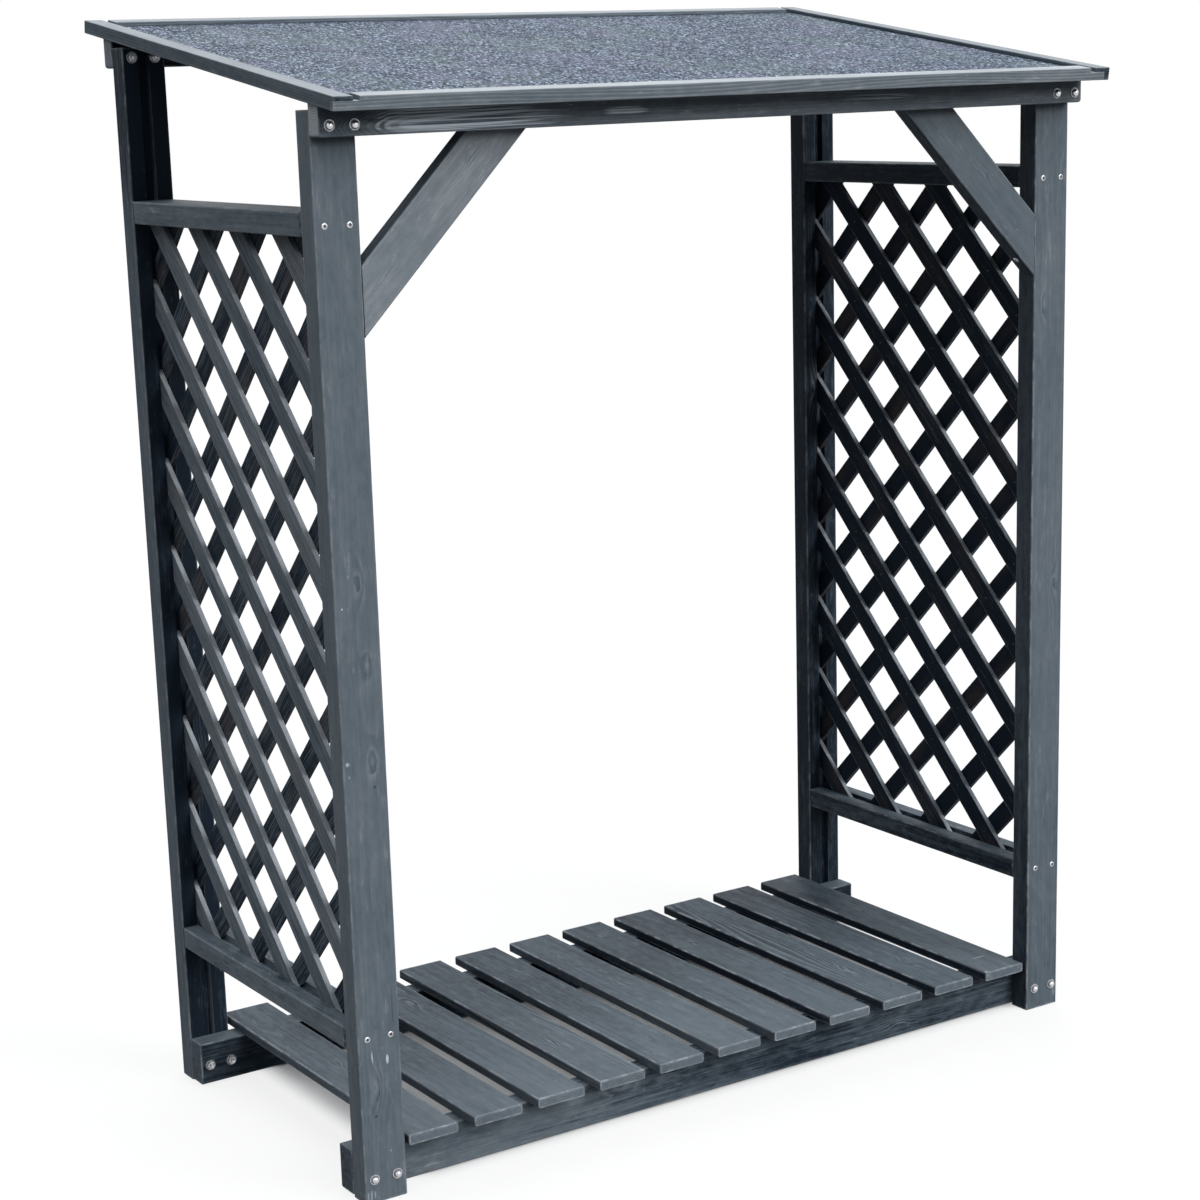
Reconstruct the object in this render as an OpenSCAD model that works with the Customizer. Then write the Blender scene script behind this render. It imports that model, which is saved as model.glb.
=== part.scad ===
/* [Store] */
// Width over the posts, left side to right side
store_w = 1370; // [1000:10:2000]
// Depth over the posts, front face to back face
store_d = 638; // [480:2:900]
// Height of the front beam's underside over the ground
front_clear_h = 1534; // [1300:2:1800]
// Fall of the roof towards the front, in degrees
roof_pitch = 8.6; // [4:0.1:12]

/* [Posts] */
// Wide side of a post, seen from the front
post_w = 70; // [60:1:90]
// Narrow side of a post
post_t = 38; // [34:1:60]
// Height of a post's top over the underside of its beam
post_rise = 36; // [20:1:38]
// Depth of the groove in a post and in a rail
groove_depth = 10; // [6:1:14]
// Play of the trellis in its groove, on each face
groove_play = 0.3; // [0.1:0.1:1]

/* [Side rails] */
// Height of a rail's section
rail_h = 34; // [28:1:45]
// Drop from the front beam's underside to the upper rail's top face
top_rail_drop = 98; // [60:2:200]
// Top face of the lower rail over the ground
low_rail_z = 266; // [180:2:400]

/* [Trellis] */
// Width of a lath
lath_w = 33.5; // [25:0.5:45]
// Thickness of a lath
lath_t = 8; // [6:0.5:10]
// Distance between the middle lines of neighbouring laths
lath_pitch = 98.6; // [80:0.2:120]
// Angle of the laths to the rails, in degrees
lath_angle = 45; // [40:1:50]

/* [Beams and braces] */
// Height of a beam at its low edge
beam_h = 42; // [40:1:70]
// Thickness of a beam
beam_t = 28; // [22:1:45]
// Radius of a beam's lower corners at its ends
beam_end_r = 5; // [2:0.5:10]
// Width of a brace
brace_w = 70; // [50:1:90]
// Thickness of a brace
brace_t = 28; // [20:1:34]
// Drop from the front beam's underside to a brace's lowest point
brace_drop = 272; // [180:2:340]

/* [Floor] */
// Height of a bearer's section
bearer_h = 70; // [50:1:90]
// Thickness of a bearer
bearer_t = 38; // [28:1:50]
// Air under the bearers
bearer_lift = 3; // [1:1:20]
// Gap between neighbouring floor slats
slat_gap = 29; // [10:1:40]
// Thickness of a floor slat
slat_t = 16; // [12:1:22]
// Distance from a floor slat's end to the posts' outer faces
slat_inset = 2; // [0:0.5:10]
// Gap between an outer floor slat and the posts beside it
slat_side_gap = 8; // [2:1:20]

/* [Roof] */
// Reach of the roof past the posts, at the front and the back
eaves = 84; // [50:1:140]
// Reach of the roof past the posts, at each side
verge = 6; // [2:1:60]
// Thickness of the roof board
board_t = 11; // [8:0.5:18]
// Thickness of the mineral felt
felt_t = 2; // [1:0.5:4]
// Width of an edge trim's upper leg, over the felt
lip_w = 30; // [20:1:45]
// Thickness of an edge trim's upper leg
lip_t = 6.5; // [4:0.5:12]
// Thickness of an edge trim's upright leg
leg_t = 10; // [6:0.5:16]
// Open joint between the upper legs of two trims at a corner
lip_gap = 9; // [1:1:20]

/* [Edges] */
// Radius of the eased edges of the heavy timber
ease_r = 3; // [1:0.5:5]
// Radius of the eased edges of the roof trims
trim_ease_r = 1.5; // [0.5:0.5:2]

/* [Hidden] */
// Number of floor slats
slat_count = 11;
// Straight pieces in each eased edge
ease_steps = 3;
// Reach of a cut past the face that it opens
overrun = 5;
// Play of the trellis at the bottom of the side and upper grooves
end_play = 0.5;
// Places of the rising and the falling laths, as shares of the distance between two laths
left_shares = [0.2, -0.43];
right_shares = [0.35, -0.21];

half_w = store_w / 2;
half_d = store_d / 2;
groove_w = 2 * lath_t + 2 * groove_play;
rise = tan(roof_pitch);

front_post_h = front_clear_h + post_rise;
back_clear_h = front_clear_h + (store_d + beam_t) * rise;
back_post_h = back_clear_h + post_rise - post_t * rise;

top_rail_z = front_clear_h - top_rail_drop;
brace_z = front_clear_h - brace_drop;
rail_l = store_d - 2 * post_t;
panel_l = rail_l + 2 * groove_depth - 2 * end_play;
panel_z = low_rail_z - groove_depth;
panel_h = top_rail_z - rail_h + groove_depth - end_play - panel_z;
panel_mid_z = (top_rail_z - rail_h + low_rail_z) / 2;
lath_l = panel_l + panel_h;
lath_count = ceil(lath_l / lath_pitch / 2);
lath_step = lath_pitch / cos(lath_angle);

floor_z = bearer_lift + bearer_h;
slat_room = store_w - 2 * post_w - 2 * slat_side_gap;
slat_w = (slat_room - (slat_count - 1) * slat_gap) / slat_count;
slat_l = store_d - 2 * slat_inset;

trim_h = board_t + felt_t + lip_t;
roof_w = store_w + 2 * verge;
roof_l = (store_d + 2 * eaves) / cos(roof_pitch);
roof_mid_z = front_clear_h + beam_h + (half_d + beam_t) * rise;

timber_colour = [0.3, 0.34, 0.37];
shade_colour = [0.26, 0.3, 0.33];
trim_colour = [0.34, 0.38, 0.41];
felt_colour = [0.42, 0.46, 0.52];

// Outline of planed timber with eased edges, its low left corner on the origin
module eased_outline(w, h, r) {
    turns = [[w - r, r, -90], [w - r, h - r, 0], [r, h - r, 90], [r, r, 180]];
    polygon([
        for (turn = turns)
            for (i = [0:ease_steps])
                let (a = turn[2] + 90 * i / ease_steps)
                    [turn[0] + r * cos(a), turn[1] + r * sin(a)]
    ]);
}

// Timber along Z, w along X and t along Y
module upright(w, t, l) {
    linear_extrude(l) eased_outline(w, t, ease_r);
}

// Timber along Y, w along X and h along Z
module lengthwise(w, h, l) {
    translate([0, l, 0])
        rotate([90, 0, 0])
            linear_extrude(l) eased_outline(w, h, ease_r);
}

// Timber along X, t along Y and h along Z
module crosswise(l, t, h) {
    rotate([90, 0, 90])
        linear_extrude(l) eased_outline(t, h, ease_r);
}

// Front post: its groove looks back, down its whole length
module front_post() {
    difference() {
        upright(post_w, post_t, front_post_h);
        translate([(post_w - groove_w) / 2, post_t - groove_depth, -overrun])
            cube([groove_w, groove_depth + overrun, front_post_h + 2 * overrun]);
    }
}

// Back post: its groove looks forward
module back_post() {
    difference() {
        upright(post_w, post_t, back_post_h);
        translate([(post_w - groove_w) / 2, -overrun, -overrun])
            cube([groove_w, groove_depth + overrun, back_post_h + 2 * overrun]);
    }
}

// Rail between two posts, with its groove in the upper or the lower face
module rail(groove_up) {
    groove_z = groove_up ? rail_h - groove_depth : -overrun;
    difference() {
        lengthwise(post_w, rail_h, rail_l);
        translate([(post_w - groove_w) / 2, -overrun, groove_z])
            cube([groove_w, rail_l + 2 * overrun, groove_depth + overrun]);
    }
}

// Heights at which the laths of one layer pass the middle of the panel
function lath_places(share) = [for (i = [-lath_count:lath_count]) (i + share) * lath_step];

// Whether two laths that rise and fall cross within the panel, from their heights at its middle
function cross_inside(rising_z, falling_z) =
    abs(falling_z - rising_z) < panel_l * tan(lath_angle)
    && abs(falling_z + rising_z) < panel_h;

// The laths of one layer that at least one lath of the other layer holds
function held_places(places, others) = [
    for (place = places)
        if (len([for (other = others) if (cross_inside(place, other)) other]) > 0) place
];

// One layer of the trellis: parallel laths, cut to the panel that fills the grooves
module lath_layer(angle, places) {
    intersection() {
        translate([0, -panel_l / 2, panel_z])
            cube([lath_t, panel_l, panel_h]);
        for (place = places)
            translate([0, 0, panel_mid_z + place])
                rotate([angle, 0, 0])
                    translate([0, -lath_l, -lath_w / 2])
                        cube([lath_t, 2 * lath_l, lath_w]);
    }
}

// Trellis panel: the outer and the inner layer lie flat on each other and are pinned where they cross
module trellis(shares) {
    rising = lath_places(shares[0]);
    falling = lath_places(shares[1]);
    union() {
        translate([-lath_t, 0, 0])
            lath_layer(lath_angle, held_places(rising, falling));
        lath_layer(-lath_angle, held_places(falling, rising));
    }
}

// Front outline of a beam, with its two lower corners rounded
module beam_outline() {
    full_h = beam_h + beam_t * rise + overrun;
    union() {
        translate([0, beam_end_r])
            square([store_w, full_h]);
        translate([beam_end_r, 0])
            square([store_w - 2 * beam_end_r, full_h]);
        translate([beam_end_r, beam_end_r])
            circle(beam_end_r, $fn = 32);
        translate([store_w - beam_end_r, beam_end_r])
            circle(beam_end_r, $fn = 32);
    }
}

// Section of a beam: eased lower edges, and a top planed to the roof's fall
module beam_section() {
    polygon(concat(
        [
            for (i = [0:ease_steps])
                let (a = 180 + 90 * i / ease_steps)
                    [ease_r + ease_r * cos(a), ease_r + ease_r * sin(a)]
        ],
        [
            for (i = [0:ease_steps])
                let (a = 270 + 90 * i / ease_steps)
                    [beam_t - ease_r + ease_r * cos(a), ease_r + ease_r * sin(a)]
        ],
        [[beam_t, beam_h + beam_t * rise], [0, beam_h]]
    ));
}

// Beam on the outer faces of two posts
module beam() {
    intersection() {
        rotate([90, 0, 90])
            linear_extrude(store_w) beam_section();
        translate([0, beam_t, 0])
            rotate([90, 0, 0])
                linear_extrude(beam_t) beam_outline();
    }
}

// Left brace at 45 degrees: cut upright at the post and level at the post's top
module brace() {
    reach = front_post_h - brace_z;
    intersection() {
        cube([reach, brace_t, reach]);
        rotate([0, -45, 0])
            translate([-reach, 0, 0])
                crosswise(3 * reach, brace_t, brace_w);
    }
}

// Bearer across the foot of two posts
module bearer() {
    crosswise(store_w, bearer_t, bearer_h);
}

// Floor slat, counted from the right
module floor_slat(number) {
    x = slat_room / 2 - number * slat_w - (number - 1) * slat_gap;
    color(timber_colour)
        translate([x, -slat_l / 2, floor_z])
            lengthwise(slat_w, slat_t, slat_l);
}

// Places what is drawn on the roof's underside, X across and Y up the fall, from its middle
module on_roof() {
    drop = trim_h * sin(roof_pitch) / 2;
    translate([0, drop, roof_mid_z + drop * rise])
        rotate([roof_pitch, 0, 0])
            children();
}

// L section of a side trim: upright leg outside, upper leg over the felt
module trim_outline() {
    difference() {
        eased_outline(lip_w, trim_h, trim_ease_r);
        translate([leg_t, -overrun])
            square([lip_w, trim_h - lip_t + overrun]);
    }
}

// Left trim: its upper leg runs through to both ends, its upright leg makes room at the front
module side_trim() {
    difference() {
        translate([-roof_w / 2, roof_l / 2, 0])
            rotate([90, 0, 0])
                linear_extrude(roof_l) trim_outline();
        translate([-roof_w / 2 - overrun, -roof_l / 2 - overrun, -overrun])
            cube([leg_t + 2 * overrun, leg_t + overrun, trim_h - lip_t + overrun]);
    }
}

// Front trim: it covers the left trim's upright leg, and is let in under both side trims
module cross_trim() {
    notch = lip_w + lip_gap;
    difference() {
        translate([-roof_w / 2, -roof_l / 2, 0])
            rotate([90, 0, 90])
                linear_extrude(roof_w - leg_t) trim_outline();
        translate([-roof_w / 2 - overrun, -roof_l / 2 - overrun, trim_h - lip_t])
            cube([notch + overrun, lip_w + 2 * overrun, lip_t + overrun]);
        translate([roof_w / 2 - notch, -roof_l / 2 - overrun, trim_h - lip_t])
            cube([notch + overrun, lip_w + 2 * overrun, lip_t + overrun]);
    }
}

module front_left_post() {
    color(timber_colour)
        translate([-half_w, -half_d, 0])
            front_post();
}

module front_right_post() {
    color(timber_colour)
        translate([half_w - post_w, -half_d, 0])
            front_post();
}

module back_left_post() {
    color(timber_colour)
        translate([-half_w, half_d - post_t, 0])
            back_post();
}

module back_right_post() {
    color(timber_colour)
        translate([half_w - post_w, half_d - post_t, 0])
            back_post();
}

module left_top_rail() {
    color(shade_colour)
        translate([-half_w, -rail_l / 2, top_rail_z - rail_h])
            rail(false);
}

module left_low_rail() {
    color(shade_colour)
        translate([-half_w, -rail_l / 2, low_rail_z - rail_h])
            rail(true);
}

module right_top_rail() {
    color(shade_colour)
        translate([half_w - post_w, -rail_l / 2, top_rail_z - rail_h])
            rail(false);
}

module right_low_rail() {
    color(shade_colour)
        translate([half_w - post_w, -rail_l / 2, low_rail_z - rail_h])
            rail(true);
}

module left_trellis() {
    color(shade_colour)
        translate([-half_w + post_w / 2, 0, 0])
            trellis(left_shares);
}

module right_trellis() {
    color(shade_colour)
        translate([half_w - post_w / 2, 0, 0])
            trellis(right_shares);
}

module front_beam() {
    color(timber_colour)
        translate([-half_w, -half_d - beam_t, front_clear_h])
            beam();
}

module back_beam() {
    color(timber_colour)
        translate([-half_w, half_d, back_clear_h])
            beam();
}

module left_brace() {
    color(timber_colour)
        translate([-half_w + post_w, -half_d, brace_z])
            brace();
}

module right_brace() {
    color(timber_colour)
        mirror([1, 0, 0])
            translate([-half_w + post_w, -half_d, brace_z])
                brace();
}

module front_bearer() {
    color(timber_colour)
        translate([-half_w, -half_d + post_t, bearer_lift])
            bearer();
}

module back_bearer() {
    color(timber_colour)
        translate([-half_w, half_d - post_t - bearer_t, bearer_lift])
            bearer();
}

module roof_board() {
    color(shade_colour)
        on_roof()
            translate([-roof_w / 2 + leg_t, -roof_l / 2 + leg_t, 0])
                cube([roof_w - 2 * leg_t, roof_l - 2 * leg_t, board_t]);
}

module roof_felt() {
    color(felt_colour)
        on_roof()
            translate([-roof_w / 2 + leg_t, -roof_l / 2 + leg_t, board_t])
                cube([roof_w - 2 * leg_t, roof_l - 2 * leg_t, felt_t]);
}

module roof_trim_front() {
    color(trim_colour) on_roof() cross_trim();
}

module roof_trim_back() {
    color(trim_colour) on_roof() rotate([0, 0, 180]) cross_trim();
}

module roof_trim_left() {
    color(trim_colour) on_roof() side_trim();
}

module roof_trim_right() {
    color(trim_colour) on_roof() rotate([0, 0, 180]) side_trim();
}

front_left_post();
front_right_post();
back_left_post();
back_right_post();
left_top_rail();
left_low_rail();
right_top_rail();
right_low_rail();
left_trellis();
right_trellis();
front_beam();
back_beam();
left_brace();
right_brace();
front_bearer();
back_bearer();
floor_slat(1);  // floor_slat_1
floor_slat(2);  // floor_slat_2
floor_slat(3);  // floor_slat_3
floor_slat(4);  // floor_slat_4
floor_slat(5);  // floor_slat_5
floor_slat(6);  // floor_slat_6
floor_slat(7);  // floor_slat_7
floor_slat(8);  // floor_slat_8
floor_slat(9);  // floor_slat_9
floor_slat(10);  // floor_slat_10
floor_slat(11);  // floor_slat_11
roof_board();
roof_felt();
roof_trim_front();
roof_trim_back();
roof_trim_left();
roof_trim_right();
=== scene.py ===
# %% [markdown]
# # A stained log store
# The real thing is a small open garden store: four grooved posts, trellis sides, a slatted floor
# and a felted roof. Its timber is planed softwood with a slate-blue stain.
# The construction is already modelled to size, so it is opened here as it is, and everything
# that follows only dresses it: cut edges, wood grain, roofing felt and the steel fixings.

import math
from types import SimpleNamespace

import bmesh
import bpy
from mathutils import Matrix, Vector


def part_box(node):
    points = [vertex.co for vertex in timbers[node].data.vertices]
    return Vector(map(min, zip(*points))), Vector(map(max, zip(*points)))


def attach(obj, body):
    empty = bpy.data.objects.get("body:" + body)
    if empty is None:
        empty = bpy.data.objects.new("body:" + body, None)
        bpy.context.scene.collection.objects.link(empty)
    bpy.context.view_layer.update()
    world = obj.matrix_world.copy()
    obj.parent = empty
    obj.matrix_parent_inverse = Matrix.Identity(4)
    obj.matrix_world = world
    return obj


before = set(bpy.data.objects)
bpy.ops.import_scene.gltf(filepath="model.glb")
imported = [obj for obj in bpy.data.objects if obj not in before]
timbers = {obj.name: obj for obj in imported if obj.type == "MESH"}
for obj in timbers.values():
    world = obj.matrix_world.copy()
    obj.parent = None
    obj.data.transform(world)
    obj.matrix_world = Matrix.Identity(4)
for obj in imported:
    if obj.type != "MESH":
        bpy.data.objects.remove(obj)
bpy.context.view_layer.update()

# %% Directions
# The store's own: to the right, to the back and up. A diagonal direction has two equal parts.
X, Y, Z = (1, 0, 0), (0, 1, 0), (0, 0, 1)
FRONT, BACK = (0, -1, 0), (0, 1, 0)
DIAGONAL = math.sqrt(0.5)

# %% [markdown]
# ## The camera
# A photograph has one place from which it was taken. Here that place is to the left, about four
# and a half metres from the store. The camera could be turned with angles, but its three axes
# say more plainly where it looks, and a small roll copies a hand-held picture.

# %% Stand the camera where the photographer stood
EYE = Vector((-2.2762, -3.4064, 1.6116))
TURN, TIP, ROLL = math.radians(32.38), math.radians(-13.359), math.radians(-1.89)
SENSOR, FOCAL_LENGTH = 36.0, 76.458  # millimetres
SHIFT = 0.0333, 0.0625  # in widths of the picture
NEAREST, FARTHEST = 0.1, 60.0

ahead = Vector((math.sin(TURN) * math.cos(TIP), math.cos(TURN) * math.cos(TIP), math.sin(TIP)))
level = ahead.cross(Vector(Z)).normalized()
upright = level.cross(ahead)
camera_x = math.cos(ROLL) * level + math.sin(ROLL) * upright
camera_y = math.cos(ROLL) * upright - math.sin(ROLL) * level
turned = Matrix((camera_x, camera_y, -ahead)).transposed().to_4x4()

lens = bpy.data.cameras.new("lens")
lens.sensor_width, lens.lens = SENSOR, FOCAL_LENGTH
lens.shift_x, lens.shift_y = SHIFT
lens.clip_start, lens.clip_end = NEAREST, FARTHEST
camera = bpy.data.objects.new("camera", lens)
bpy.context.scene.collection.objects.link(camera)
camera.matrix_world = Matrix.Translation(EYE) @ turned
bpy.context.scene.camera = camera
bpy.context.scene.view_settings.view_transform = "Standard"
print("the camera stands", round(EYE.length, 2), "m from the middle of the floor")

# %% [markdown]
# ## Writing shaders as sums
# A shader is a graph of small nodes. Wiring them by hand hides the idea behind them, so one
# class stands for a node's output and lets Python's own signs add the Math nodes. Then a mask
# can be written as 1 - mask, and a tone as a plain sum of its causes.

# %% A wire that can be added and multiplied
class Wire:
    """The output of a shader node. Sums of wires add Math nodes to the tree in hand."""

    tree = None

    def __init__(self, socket):
        self.socket = socket

    @classmethod
    def node(cls, kind, settings, inputs, output=0):
        """Adds a node: its settings first, then its sockets. Gives one of its outputs."""
        made = cls.tree.nodes.new("ShaderNode" + kind)
        for name, value in settings.items():
            if name == "stops":
                cls.place_stops(made.color_ramp.elements, value)
            else:
                setattr(made, name, value)
        for name, value in inputs.items():
            socket = made.inputs[name]
            if isinstance(value, Wire):
                cls.tree.links.new(value.socket, socket)
            elif socket.type == "RGBA":
                socket.default_value = (*value, 1.0)
            else:
                socket.default_value = value
        return cls(made.outputs[output]) if made.outputs else made

    @staticmethod
    def place_stops(stops, wanted):
        """A new ramp has two stops already, and the others are added."""
        for count, (place, colour) in enumerate(wanted):
            stop = stops[count] if count < 2 else stops.new(place)
            stop.position, stop.color = place, (*colour, 1.0)

    def pick(self, name):
        """Another output of the same node."""
        return Wire(self.socket.node.outputs[name])

    @classmethod
    def math(cls, operation, *values):
        """Adds a Math node, for what has no sign of its own in Python."""
        return cls.node("Math", {"operation": operation}, dict(enumerate(values)))

    def __add__(self, other):
        return Wire.math("ADD", self, other)

    def __radd__(self, other):
        return Wire.math("ADD", other, self)

    def __sub__(self, other):
        return Wire.math("SUBTRACT", self, other)

    def __rsub__(self, other):
        return Wire.math("SUBTRACT", other, self)

    def __mul__(self, other):
        return Wire.math("MULTIPLY", self, other)

    def __rmul__(self, other):
        return Wire.math("MULTIPLY", other, self)

    def __truediv__(self, other):
        return Wire.math("DIVIDE", self, other)

    def __rtruediv__(self, other):
        return Wire.math("DIVIDE", other, self)

    def __pow__(self, other):
        return Wire.math("POWER", self, other)

    def __abs__(self):
        return Wire.math("ABSOLUTE", self)


# %% [markdown]
# The same few nodes come back in every finish: moving and stretching a place, soft noise, a soft
# step and a mix of two colours. A short word for each keeps the finishes readable.

# %% Words for places
def shifted(place, by):
    return Wire.node("VectorMath", {"operation": "SUBTRACT"}, {0: place, 1: by})


def stretched(place, by):
    return Wire.node("VectorMath", {"operation": "MULTIPLY"}, {0: place, 1: by})


def measured(place, direction):
    """How far a place lies along a direction."""
    return Wire.node("VectorMath", {"operation": "DOT_PRODUCT"}, {0: place, 1: direction}, "Value")


def together(a, b, c):
    return Wire.node("CombineXYZ", {}, {0: a, 1: b, 2: c})


# %% Words for masks and colours
def clouds(place, detail=2.0, roughness=0.5):
    """Soft random clouds, about one to each unit of the place."""
    looks = {"Vector": place, "Scale": 1.0, "Detail": detail, "Roughness": roughness}
    return Wire.node("TexNoise", {}, looks)


def eased(value, low, high):
    """0 below low and 1 above high, with a soft step between. Works downwards too."""
    step = {"Value": value, "From Min": low, "From Max": high}
    return Wire.node("MapRange", {"interpolation_type": "SMOOTHSTEP"}, step)


def tinted(factor, below, above):
    """A colour between two others."""
    return Wire.node("Mix", {"data_type": "RGBA"}, {0: factor, 6: below, 7: above}, 2)


# %% Begin a finish, end it, and put it on
def new_finish(name):
    """An empty material, ready for its nodes."""
    finish = bpy.data.materials.new(name)
    finish.use_nodes = True
    finish.node_tree.nodes.clear()
    Wire.tree = finish.node_tree
    return finish


def coat(shader):
    """Ends a material: this shader is what shows."""
    Wire.node("OutputMaterial", {}, {"Surface": shader})


def surface(colour, roughness, relief, strength, distance, fixed):
    """Ends an opaque material. What is fixed is the same all over it."""
    bump = Wire.node("Bump", {}, {"Strength": strength, "Distance": distance, "Height": relief})
    varying = {"Base Color": colour, "Roughness": roughness, "Normal": bump}
    coat(Wire.node("BsdfPrincipled", {}, {**varying, **fixed}))


def put_on(node, finish):
    """Makes a finish the only one of a piece of the construction."""
    slots = timbers[node].data.materials
    slots.clear()
    slots.append(finish)


# %% [markdown]
# ## The studio
# The store was photographed in even daylight and cut out on white. A pale floor and a white
# surround give that look. The camera and mirror-like rays see plain white, while the timber is
# lit as under an overcast sky: bright overhead and dim at the horizon. That is why the roof and
# every upper face are light, and the inside under the roof is almost black. Painted shade on the
# inward faces and painted highlights on the upper faces and edges add to that.

# %% Which rays see plain white
def seen_directly():
    """1 for the camera's rays, and for those off a mirror or through glass. 0 for other light."""
    ray = Wire.node("LightPath", {}, {}, "Is Camera Ray")
    straight = ray + ray.pick("Is Glossy Ray") + ray.pick("Is Transmission Ray")
    return Wire.math("MINIMUM", straight, 1.0)


# %% A white surround and a soft sky
WHITE, SKY = (1.0, 1.0, 1.0), (0.93, 0.965, 1.0)

surround = bpy.data.worlds.new("surround")
bpy.context.scene.world = surround
surround.use_nodes = True
surround.node_tree.nodes.clear()
Wire.tree = surround.node_tree
height = Wire.node("SeparateXYZ", {}, {0: Wire.node("TexCoord", {}, {}, "Generated")}, "Z")
overhead = 0.03 + 1.05 * eased(height, 0.10, 0.80)
sky = Wire.node("Background", {}, {"Color": SKY, "Strength": overhead})
white = Wire.node("Background", {}, {"Color": WHITE, "Strength": 1.0})
both = Wire.node("MixShader", {}, {0: seen_directly(), 1: sky, 2: white})
Wire.node("OutputWorld", {}, {"Surface": both})
print("the surround has", len(surround.node_tree.nodes), "nodes")

# %% [markdown]
# The floor has to vanish into the white and still keep the store's shadow. A floor that only
# glows would lose the shadow, and a plain one would come out grey, so it is mostly glow with a
# share of pale paint. Straight under the store the glow stops, and the true shadow shows between
# the slats. To all other light the floor is dim, or it would light the timber from below.

# %% A pale floor that keeps the shadow
FLOOR_RADIUS, FLOOR_BELOW = 24.0, 0.0005
PALE, DIM = (0.82, 0.82, 0.82), (0.12, 0.12, 0.12)
GLOW = 0.80

floor_mesh = bpy.data.meshes.new("studio_floor")
disc = bmesh.new()
bmesh.ops.create_circle(disc, cap_ends=True, segments=96, radius=FLOOR_RADIUS)
disc.to_mesh(floor_mesh)
disc.free()
floor = bpy.data.objects.new("studio_floor", floor_mesh)
floor.location.z = -FLOOR_BELOW
bpy.context.scene.collection.objects.link(floor)

floor_mesh.materials.append(new_finish("studio_floor"))
seen = seen_directly()
spot = Wire.node("SeparateXYZ", {}, {0: Wire.node("TexCoord", {}, {}, "Object")})
side_to_side = eased(spot, -0.59, -0.53) * eased(spot, 0.69, 0.655)
under = side_to_side * eased(abs(spot.pick("Y")), 0.31, 0.25)
paint = Wire.node("BsdfDiffuse", {}, {"Color": tinted(seen, DIM, PALE)})
glow = Wire.node("Emission", {}, {"Color": WHITE, "Strength": 1.0})
coat(Wire.node("MixShader", {}, {0: seen * (1.0 - under) * GLOW, 1: paint, 2: glow}))
print("the floor reaches", FLOOR_RADIUS, "m out")

# %% [markdown]
# Three far, wide lamps stand for the brighter parts of a cloudy sky. The key lights the front
# from the right, the fill lifts the left side, and the rear lamp keeps the back readable. Each
# is many degrees across, so that no shadow has a hard edge.

# %% Three lamps
def lamp(name, strength, spread, towards):
    """A far, wide lamp: its light comes from the given side."""
    light = bpy.data.lights.new(name, "SUN")
    light.energy, light.angle = strength, math.radians(spread)
    hung = bpy.data.objects.new(name, light)
    hung.rotation_mode = "QUATERNION"
    hung.rotation_quaternion = Vector(towards).to_track_quat("Z", "Y")
    bpy.context.scene.collection.objects.link(hung)
    return light


key = lamp("key", 2.5, 40, (0.30, -0.82, 0.47))
fill = lamp("fill", 0.50, 50, (-0.66, -0.28, 0.70))
rear = lamp("rear", 1.3, 50, (0.30, 0.80, 0.50))
print("lamps:", [round(light.energy, 2) for light in (key, fill, rear)])

# %% [markdown]
# ## Cut edges
# Planed timber is eased along its length, and the construction has those rounds. Saw cuts at the
# ends stay crisp, but never razor sharp. Three modifiers do this without touching the mesh: join
# the corners, merge the flat triangles, then take a hair off each sharp edge. A fourth lets the
# light run evenly over the large faces.

# %% Take the sharpness off
SAW_CUT, LATH_CUT, FELT_CUT = 0.0009, 0.0005, 0.0003
JOIN_WITHIN, FLAT_WITHIN, SHARP_FROM = 0.00002, math.radians(1.0), math.radians(40.0)


def crisp(node, width):
    """Softens a piece's saw cuts by a hair, and lets the light run evenly over its faces."""
    piece = timbers[node]
    piece.data.shade_smooth()
    weld = piece.modifiers.new("join_corners", "WELD")
    weld.merge_threshold = JOIN_WITHIN
    flat = piece.modifiers.new("merge_flats", "DECIMATE")
    flat.decimate_type, flat.angle_limit = "DISSOLVE", FLAT_WITHIN
    edge = piece.modifiers.new("cut_edge", "BEVEL")
    edge.width, edge.segments = width, 2
    edge.limit_method, edge.angle_limit = "ANGLE", SHARP_FROM
    even = piece.modifiers.new("even_light", "WEIGHTED_NORMAL")
    even.weight = 50


for node in timbers:
    crisp(node, LATH_CUT if "trellis" in node else FELT_CUT if "felt" in node else SAW_CUT)
print(len(timbers), "pieces eased")

# %% [markdown]
# ## Stained softwood
# Wood is a solid stack of rings round a pith, so its grain is made as a solid too: distance from
# an unseen pith gives the rings, and each face simply cuts them. A flat face near the pith shows
# arches, a far one shows long lines, and an end shows arcs, all without any unwrapping.
# The stain hides most of it. What shows is soft cloudiness, fibre and paler late wood.

# %% Colours of the stain, thick to thin, of the wood under it, and of painted highlights
STAIN = [
    (0.00, (0.008, 0.014, 0.023)),
    (0.35, (0.078, 0.100, 0.121)),
    (0.60, (0.122, 0.146, 0.167)),
    (0.82, (0.178, 0.203, 0.226)),
    (1.00, (0.262, 0.286, 0.307)),
]
WORN_AND_SHEEN, SAWN = (0.262, 0.290, 0.318), (0.44, 0.47, 0.50)
UPPER_HIGHLIGHT, BARE = (0.55, 0.58, 0.61), (0.78, 0.87, 0.97)

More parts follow.
